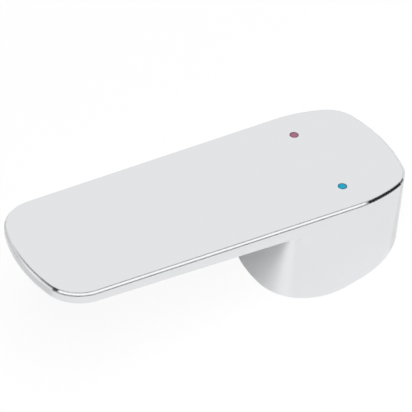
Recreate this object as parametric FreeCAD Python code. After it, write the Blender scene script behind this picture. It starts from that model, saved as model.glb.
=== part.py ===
"""Single-lever tap handle: a chrome-plated casting with two colour inlays and a grub screw.

Millimetres. The casting is drawn with its top face level, then raised about the X axis so that the
rim of its hub lies level. Origin: the centre of that rim. +Z is up, the lever points to -Y, towards
the person at the basin, and +X is on that person's right, the cold side.
"""
import FreeCAD
import Part
import math
import os

from FreeCAD import Vector

# Lever, seen square to its top face, measured along it from the spindle axis
LEVER_REACH = 91.5
REAR_REACH = 19.7
HUB_WIDTH = 43.2
SIDE_TAPER_DEG = 0.97
END_RADIUS = 45.7
FREE_CORNER_RADIUS = 10.8
REAR_CORNER_RADIUS = 10.0
SHOULDER_START = -3.0
SHOULDER_RADIUS = 42.0
EDGE_BEVEL = 0.58

# Blade thickness at its free end and where it meets the hub
TIP_THICKNESS = 2.8
ROOT_THICKNESS = 4.2
ROOT_FILLET = 3.0

# Hub: its height from the rim's centre square to the top face, the lever's slant over the rim, and the
# rim, whose corners leave a short flat at the middle of each end
HUB_HEIGHT = 27.5
LEVER_RISE_DEG = 16.0
HUB_FRONT_REACH = 22.9
HUB_FRONT_CORNER = 2.0
HUB_FRONT_RADIUS = 130.0
RIM_LENGTH = 44.0
RIM_FLAT = 2.8
RIM_SHOULDER_START = 1.0
RIM_SHOULDER_RADIUS = 25.0
RIM_BEVEL = 0.4

# Hollow under the hub, with a round counterbore at its mouth
HUB_WALL = 3.4
HOLLOW_CORNER = 3.0
MOUTH_WALL = 2.0
MOUTH_DEPTH = 4.0

# Boss with a square socket for the spindle, held by ribs
SPINDLE_WIDTH = 8.0
SPINDLE_CLEARANCE = 0.2
SOCKET_DEPTH = 11.0
SOCKET_CORNER = 0.8
BOSS_DIAMETER = 16.0
BOSS_LENGTH = 13.0
RIB_THICKNESS = 2.0
RIB_DEPTH = 6.0

# Grub screw through the rear wall
SCREW_DIAMETER = 5.0
SCREW_LENGTH = 10.0
SCREW_CLEARANCE = 0.1
SCREW_DROP = 10.5
SCREW_STAND_OFF = 0.3
SCREW_BOSS_DIAMETER = 9.5
HEX_KEY = 2.5
HEX_DEPTH = 3.0
CUP_DIAMETER = 2.6
CUP_DEPTH = 0.8
SCREW_CHAMFER = 0.5

# Colour inlays in the top face
DOT_DIAMETER = 2.5
DOT_DEPTH = 0.6
DOT_CLEARANCE = 0.05
DOT_SPACING = 25.0
DOT_OFFSET = -1.7
DOT_EDGE = 0.1

# Tool sizes: how far cutting solids run past the work, and the slip that keeps faces from coinciding
OVERRUN = 20.0
CUTTER_CORNER = 4.0
SIDE_SLIP = 0.02

TAPER = math.tan(math.radians(SIDE_TAPER_DEG))
RISE = math.radians(LEVER_RISE_DEG)
RIM_TAPER = TAPER * math.cos(RISE)
HALF_WIDTH = HUB_WIDTH / 2
RIM_HALF = min(HUB_WIDTH, RIM_LENGTH) / 2
RIM_CORNER_RADIUS = RIM_HALF - RIM_FLAT
MOUTH_RADIUS = RIM_HALF - MOUTH_WALL
BEVEL_FOOT = HUB_HEIGHT - EDGE_BEVEL
CEILING = HUB_HEIGHT - ROOT_THICKNESS
SOCKET_MOUTH = CEILING - BOSS_LENGTH
SCREW_HEIGHT = HUB_HEIGHT - SCREW_DROP

# Ends of the outlines, (end_y, corner_radius, end_radius), and their rear shoulders, (start_y, radius)
LEVER_FRONT = (-LEVER_REACH, FREE_CORNER_RADIUS, END_RADIUS)
LEVER_REAR = (REAR_REACH, REAR_CORNER_RADIUS, END_RADIUS)
LEVER_SHOULDER = (SHOULDER_START, SHOULDER_RADIUS)
HUB_FRONT = (-HUB_FRONT_REACH, HUB_FRONT_CORNER, HUB_FRONT_RADIUS)
RIM_FRONT = (-RIM_LENGTH / 2, RIM_CORNER_RADIUS, END_RADIUS)
RIM_REAR = (RIM_LENGTH / 2, RIM_CORNER_RADIUS, END_RADIUS)
RIM_SHOULDER = (RIM_SHOULDER_START, RIM_SHOULDER_RADIUS)

X_AXIS = Vector(1, 0, 0)
Y_AXIS = Vector(0, 1, 0)
Z_AXIS = Vector(0, 0, 1)
ORIGIN = Vector(0, 0, 0)


def touching_centre(one, one_reach, other, other_reach):
    """The point at given distances from two centres, on the right of the way from one to the other."""
    apart = other - one
    along = (one_reach ** 2 - other_reach ** 2 + apart.Length ** 2) / (2 * apart.Length)
    aside = math.sqrt(one_reach ** 2 - along ** 2)
    ahead = apart.normalize()
    return one + ahead * along + Vector(-ahead.y, ahead.x, 0) * aside


def arc_points(centre, radius, first_way, last_way):
    """Start, middle and end of an arc about a centre, from one direction to another."""
    middle_way = (first_way + last_way).normalize()
    return [centre + way * radius for way in (first_way, middle_way, last_way)]


def plain_corner(half_width, taper, end):
    """The one arc that joins the right side line to an end arc."""
    end_y, corner_radius, end_radius = end
    outward = 1 if end_y > 0 else -1
    end_centre = Vector(0, end_y - outward * end_radius, 0)
    inset = half_width - corner_radius * math.hypot(1, taper)
    a = 1 + taper ** 2
    b = inset * taper - end_centre.y
    c = inset ** 2 + end_centre.y ** 2 - (end_radius - corner_radius) ** 2
    centre_y = (-b + outward * math.sqrt(b ** 2 - a * c)) / a
    centre = Vector(inset + taper * centre_y, centre_y, 0)
    to_side = Vector(1, -taper, 0).normalize()
    return [arc_points(centre, corner_radius, to_side, (centre - end_centre).normalize())]


def shouldered_corner(half_width, taper, end, shoulder):
    """The wide shoulder arc and the tight corner arc that join the right side line to the rear end arc."""
    end_y, corner_radius, end_radius = end
    start_y, shoulder_radius = shoulder
    end_centre = Vector(0, end_y - end_radius, 0)
    to_side = Vector(1, -taper, 0).normalize()
    shoulder_centre = Vector(half_width + taper * start_y, start_y, 0) - to_side * shoulder_radius
    corner_centre = touching_centre(
        shoulder_centre, shoulder_radius - corner_radius, end_centre, end_radius - corner_radius)
    to_corner = (corner_centre - shoulder_centre).normalize()
    to_end = (corner_centre - end_centre).normalize()
    return [
        arc_points(shoulder_centre, shoulder_radius, to_side, to_corner),
        arc_points(corner_centre, corner_radius, to_corner, to_end),
    ]


def mirrored(point):
    """The same point on the other side of the handle."""
    return Vector(-point.x, point.y, point.z)


def curve_through(points):
    """Straight edge through two points, or arc through three."""
    curve = Part.LineSegment(*points) if len(points) == 2 else Part.Arc(*points)
    return curve.toShape()


def outline(half_width, taper, front, rear, shoulder=None):
    """Closed outline with straight sides and arched ends; its rear corners may have shoulders."""
    front_corner = plain_corner(half_width, taper, front)[0]
    rear_corner = plain_corner(half_width, taper, rear)
    if shoulder:
        rear_corner = shouldered_corner(half_width, taper, rear, shoulder)
    right = [front_corner[::-1], [front_corner[0], rear_corner[0][0]]] + rear_corner
    left = [[mirrored(point) for point in reversed(points)] for points in reversed(right)]
    rear_arc = [right[-1][-1], Vector(0, rear[0], 0), left[0][0]]
    front_arc = [left[-1][-1], Vector(0, front[0], 0), right[0][0]]
    return Part.Wire([curve_through(points) for points in right + [rear_arc] + left + [front_arc]])


def at_height(wire, height):
    """The outline laid level at a height over the rim's centre."""
    placed = wire.copy()
    placed.translate(Z_AXIS * height)
    return placed


def in_rim_plane(wire, lift):
    """The outline laid parallel to the slanted plane of the rim, lifted off it."""
    placed = at_height(wire, lift)
    placed.rotate(ORIGIN, X_AXIS, LEVER_RISE_DEG)
    return placed


def block(x_size, y_range, z_range):
    """Rectangular solid centred on X."""
    corner = Vector(-x_size / 2, y_range[0], z_range[0])
    return Part.makeBox(x_size, y_range[1] - y_range[0], z_range[1] - z_range[0], corner)


def loft(top, bottom):
    """Solid with straight walls between two outlines."""
    return Part.makeLoft([top, bottom], True, True)


def inset_end(end, inset):
    """End of an outline drawn in by an inset."""
    end_y, corner_radius, end_radius = end
    return end_y - math.copysign(inset, end_y), corner_radius - inset, end_radius - inset


def inset_shoulder(shoulder, inset):
    """Shoulder of an outline drawn in by an inset."""
    return shoulder[0], shoulder[1] - inset


def inset_outline(taper, front, rear, shoulder, inset):
    """Outline as wide as the hub, drawn in by an inset all round."""
    half = HALF_WIDTH - inset * math.hypot(1, taper)
    ends = (inset_end(front, inset), inset_end(rear, inset))
    return outline(half, taper, *ends, inset_shoulder(shoulder, inset))


def lever_plan(inset):
    """Outline of the whole lever, drawn in by an inset all round."""
    return inset_outline(TAPER, LEVER_FRONT, LEVER_REAR, LEVER_SHOULDER, inset)


def bevelled_top():
    """Thin top layer of the lever, from the foot of its bevel to the top face."""
    return loft(at_height(lever_plan(0), BEVEL_FOOT), at_height(lever_plan(EDGE_BEVEL), HUB_HEIGHT))


def blade_blank():
    """Free half of the lever as a prism, deeper than the blade will be."""
    plan = Part.Face(at_height(lever_plan(0), BEVEL_FOOT))
    prism = plan.extrude(Z_AXIS * -(ROOT_THICKNESS + ROOT_FILLET))
    free_half = block(HUB_WIDTH * 2, (-LEVER_REACH - OVERRUN, -HUB_FRONT_REACH / 2), (0, HUB_HEIGHT))
    return prism.common(free_half)


def rim_sections(rim, foot):
    """The two lowest sections of the hub: the rim's full outline and its bevelled foot."""
    return [in_rim_plane(rim, RIM_BEVEL), in_rim_plane(foot, 0)]


def hub_blank():
    """Hub from the lever's rear outline to the rim, run on to the front under the blade."""
    run_on = (-HUB_FRONT_REACH - OVERRUN, CUTTER_CORNER, END_RADIUS)
    top = inset_outline(TAPER, run_on, LEVER_REAR, LEVER_SHOULDER, 0)
    rim = inset_outline(RIM_TAPER, run_on, RIM_REAR, RIM_SHOULDER, 0)
    foot = inset_outline(RIM_TAPER, run_on, RIM_REAR, RIM_SHOULDER, RIM_BEVEL)
    return Part.makeLoft([at_height(top, BEVEL_FOOT)] + rim_sections(rim, foot), True, True)


def hub_front():
    """Solid whose front wall and corners are those of the hub, from rounded square to nearly round."""
    run_on = (REAR_REACH + OVERRUN, CUTTER_CORNER, END_RADIUS)
    half = HALF_WIDTH + SIDE_SLIP
    top = outline(half, TAPER, HUB_FRONT, run_on)
    rim = outline(half, RIM_TAPER, RIM_FRONT, run_on)
    foot = outline(half - RIM_BEVEL, RIM_TAPER, inset_end(RIM_FRONT, RIM_BEVEL), run_on)
    return Part.makeLoft([at_height(top, BEVEL_FOOT)] + rim_sections(rim, foot), True, True)


def underside_height(y):
    """Height of the blade's underside, which slopes from the hub to the free end."""
    slope = (ROOT_THICKNESS - TIP_THICKNESS) / (LEVER_REACH - HUB_FRONT_REACH)
    return CEILING - slope * (y + HUB_FRONT_REACH)


def under_blade_cutter():
    """Space under the blade and round the hub's front, with the root fillet on its inner edge."""
    far = -LEVER_REACH - OVERRUN
    floor = far * math.tan(RISE) - OVERRUN
    half_span = HALF_WIDTH + OVERRUN
    profile = [
        Vector(-half_span, far, underside_height(far)),
        Vector(-half_span, 0, underside_height(0)),
        Vector(-half_span, 0, floor),
        Vector(-half_span, far, floor),
    ]
    space = Part.Face(Part.makePolygon(profile + profile[:1])).extrude(X_AXIS * 2 * half_span)
    space = space.cut(hub_front())
    return space.makeFillet(ROOT_FILLET, [edge for edge in space.Edges if is_root_edge(edge)])


def is_root_edge(edge):
    """True for the edges where the blade's underside meets the hub's wall."""
    on_underside = all(abs(v.Z - underside_height(v.Y)) < SIDE_SLIP for v in edge.Vertexes)
    return on_underside and all(abs(v.X) < HALF_WIDTH + 2 * SIDE_SLIP for v in edge.Vertexes)


def hollow():
    """Space inside the hub, under the lever, with walls that follow the hub's own."""
    half = HALF_WIDTH - HUB_WALL
    front = (-HUB_FRONT_REACH + HUB_WALL, HOLLOW_CORNER, HUB_FRONT_RADIUS - HUB_WALL)
    rear = inset_end(LEVER_REAR, HUB_WALL)
    top = outline(half, TAPER, front, rear, inset_shoulder(LEVER_SHOULDER, HUB_WALL))
    mouth = inset_outline(RIM_TAPER, RIM_FRONT, RIM_REAR, RIM_SHOULDER, HUB_WALL)
    space = loft(at_height(top, HUB_HEIGHT), in_rim_plane(mouth, 0))
    below_lever = block(HUB_WIDTH, (-LEVER_REACH, REAR_REACH + OVERRUN), (-HUB_HEIGHT, CEILING))
    return space.common(below_lever)


def mouth_counterbore():
    """Round counterbore, square to the rim, that goes over the collar of the tap."""
    bore = Part.makeCylinder(MOUTH_RADIUS, MOUTH_DEPTH + OVERRUN, Z_AXIS * -OVERRUN)
    bore.rotate(ORIGIN, X_AXIS, LEVER_RISE_DEG)
    return bore


def inner_frame():
    """Spindle boss, its ribs and the screw boss, before they are cut to the hollow."""
    boss = Part.makeCylinder(BOSS_DIAMETER / 2, BOSS_LENGTH + ROOT_THICKNESS / 2, Z_AXIS * SOCKET_MOUTH)
    rib_heights = (CEILING - RIB_DEPTH, CEILING + ROOT_THICKNESS / 2)
    cross_rib = block(HUB_WIDTH, (-RIB_THICKNESS / 2, RIB_THICKNESS / 2), rib_heights)
    front_rib = block(RIB_THICKNESS, (-HUB_FRONT_REACH, 0), rib_heights)
    screw_boss = Part.makeCylinder(SCREW_BOSS_DIAMETER / 2, REAR_REACH, Z_AXIS * SCREW_HEIGHT, Y_AXIS)
    return boss.fuse([cross_rib, front_rib, screw_boss])


def spindle_socket():
    """Square hole for the spindle, with rounded corners."""
    width = SPINDLE_WIDTH + SPINDLE_CLEARANCE
    hole = block(width, (-width / 2, width / 2), (SOCKET_MOUTH - OVERRUN, SOCKET_MOUTH + SOCKET_DEPTH))
    upright = [edge for edge in hole.Edges if abs(edge.tangentAt(edge.FirstParameter).z) > 0.5]
    return hole.makeFillet(SOCKET_CORNER, upright)


def screw_hole():
    """Hole from the rear wall to the socket."""
    radius = (SCREW_DIAMETER + SCREW_CLEARANCE) / 2
    return Part.makeCylinder(radius, REAR_REACH + OVERRUN, Z_AXIS * SCREW_HEIGHT, Y_AXIS)


def dot_place(side):
    """Centre of a colour inlay on the top face; side is -1 for hot and 1 for cold."""
    return Vector(side * DOT_SPACING / 2, DOT_OFFSET, HUB_HEIGHT)


def dot_recess(side):
    """Round recess for a colour inlay."""
    radius = DOT_DIAMETER / 2 + DOT_CLEARANCE
    return Part.makeCylinder(radius, DOT_DEPTH + OVERRUN, dot_place(side) - Z_AXIS * DOT_DEPTH)


def lies_on_top(edge):
    """True for the edges in the plane of the top face."""
    return edge.BoundBox.ZMin > HUB_HEIGHT - SIDE_SLIP


def handle_body():
    """The whole casting."""
    blank = blade_blank().fuse([hub_blank(), bevelled_top()]).removeSplitter()
    body = blank.cut(under_blade_cutter())
    body = body.cut(hollow().cut(inner_frame()))
    holes = [mouth_counterbore(), spindle_socket(), screw_hole(), dot_recess(-1), dot_recess(1)]
    return body.cut(holes).removeSplitter()


def colour_dot(side):
    """Round inlay with a softened edge, flush with the top face."""
    inlay = Part.makeCylinder(DOT_DIAMETER / 2, DOT_DEPTH, dot_place(side) - Z_AXIS * DOT_DEPTH)
    rim = [edge for edge in inlay.Edges if lies_on_top(edge)]
    return inlay.makeFillet(DOT_EDGE, rim)


def grub_screw():
    """Set screw with a hexagon socket behind and a cup point towards the spindle."""
    tip = (SPINDLE_WIDTH + SPINDLE_CLEARANCE) / 2 + SCREW_STAND_OFF
    start = Vector(0, tip, SCREW_HEIGHT)
    body = Part.makeCylinder(SCREW_DIAMETER / 2, SCREW_LENGTH, start, Y_AXIS)
    body = body.makeChamfer(SCREW_CHAMFER, [edge for edge in body.Edges if edge.Closed])
    cup = Part.makeCone(CUP_DIAMETER / 2, 0, CUP_DEPTH, start, Y_AXIS)
    corner_radius = HEX_KEY / math.sqrt(3)
    back = tip + SCREW_LENGTH
    corners = []
    for step in range(7):
        angle = math.radians(60 * step)
        way = Vector(math.cos(angle), 0, math.sin(angle))
        corners.append(Vector(0, back, SCREW_HEIGHT) + way * corner_radius)
    hexagon = Part.Face(Part.makePolygon(corners)).extrude(Y_AXIS * -HEX_DEPTH)
    return body.cut([cup, hexagon])


def raised(shape):
    """The shape with the lever raised to its slant, so that the rim lies level."""
    turned = shape.copy()
    turned.rotate(ORIGIN, X_AXIS, -LEVER_RISE_DEG)
    return turned


def main():
    """Write one STEP file for each piece."""
    pieces = {
        "handle_body": handle_body(),
        "hot_dot": colour_dot(-1),
        "cold_dot": colour_dot(1),
        "grub_screw": grub_screw(),
    }
    os.makedirs("parts", exist_ok=True)
    for name, shape in pieces.items():
        raised(shape).exportStep(f"parts/{name}.step")
        print(name, round(shape.Volume, 1), shape.isValid(), len(shape.Solids), len(shape.Faces))


main()
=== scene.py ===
"""Studio picture of a chrome tap handle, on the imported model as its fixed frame."""
import bpy
import math
from mathutils import Matrix, Vector

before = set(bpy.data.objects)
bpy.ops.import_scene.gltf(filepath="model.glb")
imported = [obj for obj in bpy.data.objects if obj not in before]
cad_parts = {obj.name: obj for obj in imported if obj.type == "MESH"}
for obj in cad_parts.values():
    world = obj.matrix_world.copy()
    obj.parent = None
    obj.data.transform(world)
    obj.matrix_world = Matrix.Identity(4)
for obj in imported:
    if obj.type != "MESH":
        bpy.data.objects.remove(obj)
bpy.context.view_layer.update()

MM = 0.001
WHITE = (1, 1, 1, 1)

# Sizes of the handle while its lever is level; the finished lever is raised about X
LEVER_RISE = math.radians(16.0)
TOP_HEIGHT = 27.5 * MM
LEVER_MIDDLE = -35.9 * MM
FREE_END_START = -55.0 * MM
CEILING_HEIGHT = 23.3 * MM
HOLLOW_RADIUS = 17.0 * MM
HOLLOW_MARGIN = 1.0 * MM
DOT_PLACE = (12.5 * MM, -1.7 * MM)
DOT_RADIUS = 1.25 * MM
RIM_START = 0.6 * DOT_RADIUS
RIM_END = 0.95 * DOT_RADIUS
CRISP_RADIUS = 2.0 * DOT_RADIUS
EDGE_SOFTNESS = 0.9 * MM
BEVEL_SAMPLES = 12
THREAD_PITCH = 0.8 * MM
THREAD_DEPTH = 0.3 * MM
WAVE_DEPTH = 0.006 * MM
GRAIN_DEPTH = 0.08 * MM

# Colours, and cloudy finishes with their clouds per metre, lowest and highest value
CHROME_COLOUR = (0.76, 0.77, 0.785)
PLATE_WAVES = (180.0, 0.0, 1.0)
PLATE_ROUGHNESS = (60.0, 0.02, 0.06)
CASTING_COLOUR = (0.36, 0.365, 0.37, 1)
CASTING_GRAIN = (1800.0, 0.0, 1.0)
CASTING_ROUGHNESS = (300.0, 0.35, 0.6)
STEEL_COLOUR = (0.42, 0.42, 0.43, 1)
STEEL_ROUGHNESS = (1500.0, 0.25, 0.45)
HOT_MIDDLE = (0.36, 0.14, 0.2, 1)
HOT_RIM = (0.2, 0.075, 0.115, 1)
COLD_MIDDLE = (0.003, 0.35, 0.53, 1)
COLD_RIM = (0.003, 0.18, 0.29, 1)
RESIN_CLOUD = (1500.0, -0.15, 0.15)
RESIN_ROUGHNESS = (900.0, 0.2, 0.35)
RESIN_SPECULAR = 0.2

# Painted reflections in the plating: dark lines, bright bands and grey faces put into its colour
# by the way it faces on the level lever: a range of bearings from +X and a range of tilts off
# the top face, each with its blur and all in degrees, and then the tone
NEAR_SIDE = (-57, 4, 1)
REAR_AND_FAR_SIDE = (64, 181, 4)
FAR_CORNER = (-181, -150, 5)
UPPER_LINE = (12, 26, 2)
MIDDLE_LINE = (28, 53, 2)
LOWER_LINE = (55, 73, 2)
HUB_WALL = (80, 115, 5)
PAINTED_EDGE_REFLECTIONS = (
    (NEAR_SIDE, UPPER_LINE, 0.12),
    (NEAR_SIDE, MIDDLE_LINE, 1.27),
    (NEAR_SIDE, LOWER_LINE, 0.04),
    (REAR_AND_FAR_SIDE, MIDDLE_LINE, 1.2),
    (REAR_AND_FAR_SIDE, LOWER_LINE, 0.05),
    (FAR_CORNER, MIDDLE_LINE, 1.2),
    (FAR_CORNER, LOWER_LINE, 0.05),
    # Painted reflection on the corner from the near side to the rear, black and then fading
    ((4, 30, 1), (23, 74, 3), 0.03),
    ((30, 42, 1), (27, 62, 4), 0.2),
    # Painted dark reflection on the free end, darkest at its corner with the near side
    ((-92, -57, 6), (11, 32, 3), 0.15),
    ((-78, -57, 3), (14, 44, 3), 0.3),
    ((-66, -57, 2), (20, 68, 3), 0.15))
# Painted grey reflection on the face of the free end, kept off the hub
PAINTED_END_REFLECTIONS = (
    ((-125, -88, 4), (28, 110, 6), 0.8),
    ((-88, -66, 4), (76, 110, 4), 0.82))
# Painted highlight band down the hub's front corner and painted darker reflection on its rear corner, kept
# off the free end
PAINTED_HUB_REFLECTIONS = (
    ((-66, -50, 4), HUB_WALL, 1.07),
    ((31, 80, 5), HUB_WALL, 0.76))

# Camera, turned about the middle of the lever's top face
IMAGE_SIZE = 412
MIDDLE_PIXEL = (208.6, 196.36)
PIXELS_PER_MM = 3.766
SENSOR_WIDTH = 36.0
CAMERA_AZIMUTH = math.radians(58.466)
CAMERA_ELEVATION = math.radians(39.431)
CAMERA_ROLL = math.radians(3.0)
CAMERA_DISTANCE = 0.6
NEAREST_SEEN = 0.01

# Studio; a panel has stations of an azimuth from +X, a lower and an upper elevation, in degrees
FLOOR_REACH = 6.0
FLOOR_DROP = 0.02 * MM
FLOOR_COLOUR = (0.95, 0.95, 0.95, 1)
FLOOR_GLOW = 0.9
PANEL_DISTANCE = 5.0
PANEL_GLOW = 0.6
FRONT_PANEL = ((-75, 0, 20), (-45, 0, 24), (-15, 0, 20), (10, 0, 12))
REAR_PANEL = ((60, 0, 12), (85, 0, 18), (110, 0, 14), (130, 0, 8))
LAMP_PLACE = (0.6, 0.0, 1.08)
LAMP_POWER = 10.5
LAMP_SIZE = 0.7
WORLD_LIGHT = 0.45

# Facts about the shader nodes: a noise's fineness, the wave texture's length at scale 1,
# and where a mix has its two inputs and its result
NOISE_DETAIL = 4.0
NOISE_ROUGHNESS = 0.6
WAVE_LENGTH = math.pi / 10
MIX_SOCKETS = {"VECTOR": (4, 5, 1), "RGBA": (6, 7, 2)}


class Tree:
    """Shorthand for building one node tree."""

    def __init__(self, tree):
        tree.nodes.clear()
        self.tree = tree

    def add(self, kind, inputs=None, **settings):
        """New node, with its settings made and its inputs set or linked."""
        node = self.tree.nodes.new("ShaderNode" + kind)
        for name, value in settings.items():
            setattr(node, name, value)
        for name, value in (inputs or {}).items():
            if isinstance(value, bpy.types.NodeSocket):
                self.tree.links.new(value, node.inputs[name])
            else:
                node.inputs[name].default_value = value
        return node

    def math(self, operation, first, second=0.0, clamp=False):
        """Result of one sum on two numbers or sockets."""
        node = self.add("Math", {0: first, 1: second}, operation=operation, use_clamp=clamp)
        return node.outputs[0]

    def vectors(self, operation, first, second=(0, 0, 0)):
        """Vector and Value outputs of one sum on two vectors."""
        return self.add("VectorMath", {0: first, 1: second}, operation=operation).outputs

    def mix(self, kind, share, first, second):
        """Blend of two vectors or two colours."""
        first_socket, second_socket, result = MIX_SOCKETS[kind]
        inputs = {"Factor": share, first_socket: first, second_socket: second}
        return self.add("Mix", inputs, data_type=kind).outputs[result]


def new_material(name):
    """Empty node material and its tree."""
    material = bpy.data.materials.new(name)
    material.use_nodes = True
    return material, Tree(material.node_tree)


def raised(point):
    """A point of the level lever, moved to where the raised lever has it."""
    return Matrix.Rotation(-LEVER_RISE, 3, "X") @ Vector(point)


def levelled(tree, vector):
    """A vector of the raised lever, turned back to where the level lever has it."""
    turn = tree.add("VectorRotate", {"Vector": vector, "Angle": LEVER_RISE}, rotation_type="X_AXIS")
    return turn.outputs["Vector"]


def flattened(tree, vector):
    """A vector without its height."""
    return tree.vectors("MULTIPLY", vector, (1, 1, 0))["Vector"]


def noise(tree, place, scale, low, high):
    """Cloudy number between two limits."""
    cloud = tree.add("TexNoise", {
        "Vector": place, "Scale": scale, "Detail": NOISE_DETAIL, "Roughness": NOISE_ROUGHNESS})
    spread = tree.add("MapRange", {"Value": cloud.outputs["Fac"], "To Min": low, "To Max": high})
    return spread.outputs["Result"]


def inside_hub(tree, place):
    """1 on the walls, boss and ribs of the hub's hollow, 0 on the outside of the casting."""
    level = levelled(tree, place)
    reach = tree.vectors("LENGTH", flattened(tree, level))["Value"]
    in_core = tree.math("LESS_THAN", reach, HOLLOW_RADIUS)
    normal = tree.add("NewGeometry").outputs["Normal"]
    outward = tree.vectors("DOT_PRODUCT", flattened(tree, place), normal)["Value"]
    faces_in = tree.math("LESS_THAN", outward, -HOLLOW_MARGIN)
    height = tree.add("SeparateXYZ", {"Vector": level}).outputs["Z"]
    below_top = tree.math("LESS_THAN", height, CEILING_HEIGHT + HOLLOW_MARGIN)
    return tree.math("MULTIPLY", tree.math("MAXIMUM", in_core, faces_in), below_top)


def soft_edges(tree, place):
    """Normals rounded over by the plating, except at the crisp recesses of the colour dots."""
    rounded = tree.add("Bevel", {"Radius": EDGE_SOFTNESS}, samples=BEVEL_SAMPLES).outputs["Normal"]
    plain = tree.add("NewGeometry").outputs["Normal"]
    # Without their signs, the places of both dots are the same
    unsigned = tree.vectors("ABSOLUTE", levelled(tree, place))["Vector"]
    centre = (abs(DOT_PLACE[0]), abs(DOT_PLACE[1]), TOP_HEIGHT)
    reach = tree.vectors("DISTANCE", unsigned, centre)["Value"]
    at_dot = tree.math("LESS_THAN", reach, CRISP_RADIUS)
    return tree.mix("VECTOR", at_dot, rounded, plain)


def within(tree, value, low, high, blur):
    """1 between two limits and 0 outside them, with blurred ends."""
    rising = tree.add("MapRange", {"Value": value, "From Min": low - blur, "From Max": low + blur})
    falling = tree.add("MapRange", {"Value": value, "From Min": high + blur, "From Max": high - blur})
    return tree.math("MULTIPLY", rising.outputs["Result"], falling.outputs["Result"])


def painted_reflection_factor(tree, normal, share, reflection_tones):
    """Product of the painted reflection tones that a normal falls in; share is 1 where they count and 0
    where not.
    """
    facing = tree.add("SeparateXYZ", {"Vector": levelled(tree, normal)}).outputs
    bearing = tree.math("DEGREES", tree.math("ARCTAN2", facing["Y"], facing["X"]))
    tilt = tree.math("DEGREES", tree.math("ARCCOSINE", facing["Z"]))
    product = 1.0
    for bearings, tilts, reflection_tone in reflection_tones:
        in_ranges = tree.math("MULTIPLY", within(tree, bearing, *bearings), within(tree, tilt, *tilts))
        here = tree.math("MULTIPLY", share, in_ranges)
        # Each tone darkens or brightens the colour as a painted reflection
        factor = tree.math("ADD", 1.0, tree.math("MULTIPLY", here, reflection_tone - 1))
        product = tree.math("MULTIPLY", product, factor)
    return product


def plate_colour_with_painted_reflections(tree, place, normal):
    """Chrome's own colour, times painted reflection tones on its edges and corners, its free end and its
    hub.
    """
    along = tree.add("SeparateXYZ", {"Vector": levelled(tree, place)}).outputs["Y"]
    on_end = tree.math("LESS_THAN", along, FREE_END_START)
    on_hub = tree.math("SUBTRACT", 1.0, on_end)
    # Painted reflections of the studio on the edges and corners, then on the free end and the hub only
    reflection_tone = painted_reflection_factor(tree, normal, 1.0, PAINTED_EDGE_REFLECTIONS)
    for share, reflection_tones in ((on_end, PAINTED_END_REFLECTIONS), (on_hub, PAINTED_HUB_REFLECTIONS)):
        reflection_tone = tree.math("MULTIPLY", reflection_tone, painted_reflection_factor(tree, normal, share, reflection_tones))
    return tree.add("VectorMath", {0: CHROME_COLOUR, "Scale": reflection_tone}, operation="SCALE").outputs["Vector"]


def chrome_material():
    """Bright chrome plate with soft edges, faint polishing waves and painted reflections in its colour;
    bare grained casting in the hollow.
    """
    material, tree = new_material("chrome_plate")
    place = tree.add("TexCoord").outputs["Object"]
    soft = soft_edges(tree, place)
    waves = tree.add("Bump", {
        "Height": noise(tree, place, *PLATE_WAVES), "Distance": WAVE_DEPTH, "Normal": soft})
    plate = tree.add("BsdfPrincipled", {
        # Base colour carries the painted edge, end and hub reflections
        "Base Color": plate_colour_with_painted_reflections(tree, place, soft),
        "Metallic": 1.0,
        "Roughness": noise(tree, place, *PLATE_ROUGHNESS),
        "Normal": waves.outputs["Normal"]})
    grain = tree.add("Bump", {"Height": noise(tree, place, *CASTING_GRAIN), "Distance": GRAIN_DEPTH})
    casting = tree.add("BsdfPrincipled", {
        "Base Color": CASTING_COLOUR,
        "Metallic": 1.0,
        "Roughness": noise(tree, place, *CASTING_ROUGHNESS),
        "Normal": grain.outputs["Normal"]})
    both = tree.add("MixShader", {0: inside_hub(tree, place), 1: plate.outputs[0], 2: casting.outputs[0]})
    tree.add("OutputMaterial", {"Surface": both.outputs[0]})
    return material


def inlay_material(name, side, middle, rim):
    """Coloured resin, darker at its rim; side is -1 for hot and 1 for cold."""
    material, tree = new_material(name)
    place = tree.add("TexCoord").outputs["Object"]
    centre = (side * DOT_PLACE[0], DOT_PLACE[1], TOP_HEIGHT)
    reach = tree.vectors("DISTANCE", levelled(tree, place), centre)["Value"]
    ring = tree.add("MapRange", {"Value": reach, "From Min": RIM_START, "From Max": RIM_END})
    cloudy = tree.math("ADD", ring.outputs["Result"], noise(tree, place, *RESIN_CLOUD), clamp=True)
    shader = tree.add("BsdfPrincipled", {
        "Base Color": tree.mix("RGBA", cloudy, middle, rim),
        "Specular IOR Level": RESIN_SPECULAR,
        "Roughness": noise(tree, place, *RESIN_ROUGHNESS)})
    tree.add("OutputMaterial", {"Surface": shader.outputs[0]})
    return material


def screw_material():
    """Stainless steel with a cut thread round its length."""
    material, tree = new_material("screw_steel")
    place = tree.add("TexCoord").outputs["Object"]
    turns = {"Vector": levelled(tree, place), "Scale": WAVE_LENGTH / THREAD_PITCH}
    thread = tree.add("TexWave", turns, bands_direction="Y", wave_profile="TRI")
    groove = tree.add("Bump", {"Height": thread.outputs["Fac"], "Distance": THREAD_DEPTH})
    shader = tree.add("BsdfPrincipled", {
        "Base Color": STEEL_COLOUR,
        "Metallic": 1.0,
        "Roughness": noise(tree, place, *STEEL_ROUGHNESS),
        "Normal": groove.outputs["Normal"]})
    tree.add("OutputMaterial", {"Surface": shader.outputs[0]})
    return material


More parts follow.
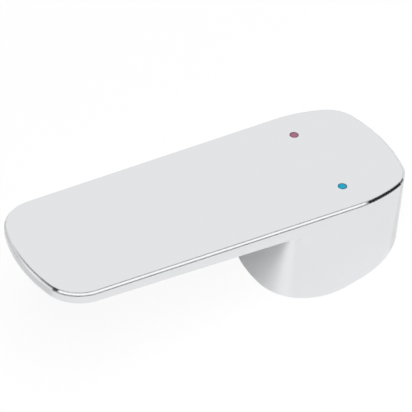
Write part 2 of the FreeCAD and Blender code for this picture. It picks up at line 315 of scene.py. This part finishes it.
def floor_material():
    """Pale paper; to the camera it also glows, so that it looks white with a faint shadow."""
    material, tree = new_material("pale_floor")
    path = tree.add("LightPath").outputs
    paper = tree.add("BsdfDiffuse", {"Color": FLOOR_COLOUR})
    lit_share = 1 - FLOOR_GLOW
    shadowed = tree.add("BsdfDiffuse", {"Color": (lit_share, lit_share, lit_share, 1)})
    glow = tree.add("Emission", {"Color": WHITE, "Strength": FLOOR_GLOW})
    seen = tree.add("AddShader", {0: shadowed.outputs[0], 1: glow.outputs[0]})
    both = tree.add("MixShader", {0: path["Is Camera Ray"], 1: paper.outputs[0], 2: seen.outputs[0]})
    tree.add("OutputMaterial", {"Surface": both.outputs[0]})
    return material


def panel_material(name):
    """Evenly glowing grey card."""
    material, tree = new_material(name)
    glow = tree.add("Emission", {"Color": WHITE, "Strength": PANEL_GLOW})
    tree.add("OutputMaterial", {"Surface": glow.outputs[0]})
    return material


def add_stage_mesh(name, points, faces, material):
    """Mesh that belongs to the studio and not to the handle."""
    mesh = bpy.data.meshes.new(name)
    mesh.from_pydata(points, [], faces)
    mesh.materials.append(material)
    thing = bpy.data.objects.new(name, mesh)
    bpy.context.scene.collection.objects.link(thing)
    return thing


def add_floor():
    """Wide floor, just clear of the hub's rim."""
    signs = ((-1, -1), (1, -1), (1, 1), (-1, 1))
    corners = [(x * FLOOR_REACH, y * FLOOR_REACH, -FLOOR_DROP) for x, y in signs]
    add_stage_mesh("floor", corners, [(0, 1, 2, 3)], floor_material())


def direction(azimuth, elevation):
    """Unit vector at an azimuth from +X and an elevation, in degrees."""
    az, el = math.radians(azimuth), math.radians(elevation)
    return Vector((math.cos(el) * math.cos(az), math.cos(el) * math.sin(az), math.sin(el)))


def add_panel(name, stations):
    """Far, low card that only mirrors show."""
    points = []
    for azimuth, low, high in stations:
        points.append(direction(azimuth, low) * PANEL_DISTANCE)
        points.append(direction(azimuth, high) * PANEL_DISTANCE)
    faces = [(i, i + 2, i + 3, i + 1) for i in range(0, len(points) - 2, 2)]
    panel = add_stage_mesh(name, points, faces, panel_material(name))
    panel.visible_camera = False
    panel.visible_diffuse = False
    panel.visible_shadow = False


def add_world():
    """White studio: full white where it is seen or mirrored, softer as a light."""
    world = bpy.data.worlds.new("studio")
    world.use_nodes = True
    tree = Tree(world.node_tree)
    path = tree.add("LightPath").outputs
    seen = tree.math("MAXIMUM", path["Is Camera Ray"], path["Is Glossy Ray"])
    seen = tree.math("MAXIMUM", seen, path["Is Transmission Ray"])
    strength = tree.add("MapRange", {"Value": seen, "To Min": WORLD_LIGHT, "To Max": 1.0})
    light = tree.add("Background", {"Color": WHITE, "Strength": strength.outputs["Result"]})
    tree.add("OutputWorld", {"Surface": light.outputs[0]})
    bpy.context.scene.world = world


def add_lamp():
    """Large soft lamp, high over the near side."""
    data = bpy.data.lights.new("softbox", "AREA")
    data.shape = "DISK"
    data.size = LAMP_SIZE
    data.energy = LAMP_POWER
    lamp = bpy.data.objects.new("softbox", data)
    lamp.location = LAMP_PLACE
    lamp.rotation_euler = (-Vector(LAMP_PLACE)).to_track_quat("-Z", "Y").to_euler()
    lamp.visible_glossy = False
    bpy.context.scene.collection.objects.link(lamp)


def camera_axes():
    """The camera's right, up and backward directions."""
    sin_az, cos_az = math.sin(CAMERA_AZIMUTH), math.cos(CAMERA_AZIMUTH)
    sin_el, cos_el = math.sin(CAMERA_ELEVATION), math.cos(CAMERA_ELEVATION)
    back = Vector((sin_az * cos_el, -cos_az * cos_el, sin_el))
    level_right = Vector((cos_az, sin_az, 0))
    level_up = back.cross(level_right)
    right = level_right * math.cos(CAMERA_ROLL) + level_up * math.sin(CAMERA_ROLL)
    return raised(right), raised(back.cross(right)), raised(back)


def add_camera():
    """Camera at the photograph's viewing angle, out from the middle of the lever's top face."""
    data = bpy.data.cameras.new("camera")
    data.sensor_width = SENSOR_WIDTH
    data.lens = PIXELS_PER_MM * CAMERA_DISTANCE / MM / IMAGE_SIZE * SENSOR_WIDTH
    data.shift_x = (IMAGE_SIZE / 2 - MIDDLE_PIXEL[0]) / IMAGE_SIZE
    data.shift_y = (MIDDLE_PIXEL[1] - IMAGE_SIZE / 2) / IMAGE_SIZE
    data.clip_start = NEAREST_SEEN
    axes = camera_axes()
    place = raised((0, LEVER_MIDDLE, TOP_HEIGHT)) + axes[2] * CAMERA_DISTANCE
    camera = bpy.data.objects.new("camera", data)
    camera.matrix_world = Matrix.Translation(place) @ Matrix(axes).transposed().to_4x4()
    bpy.context.scene.collection.objects.link(camera)
    bpy.context.scene.camera = camera


def dress_nodes():
    """Give each piece of the model its finished material."""
    finishes = {
        "handle_body": chrome_material(),
        "hot_dot": inlay_material("hot_resin", -1, HOT_MIDDLE, HOT_RIM),
        "cold_dot": inlay_material("cold_resin", 1, COLD_MIDDLE, COLD_RIM),
        "grub_screw": screw_material(),
    }
    for name, material in finishes.items():
        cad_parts[name].material_slots[0].material = material


add_world()
add_floor()
add_panel("front_panel", FRONT_PANEL)
add_panel("rear_panel", REAR_PANEL)
add_lamp()
add_camera()
dress_nodes()
bpy.context.scene.view_settings.view_transform = "Standard"
bpy.context.view_layer.update()
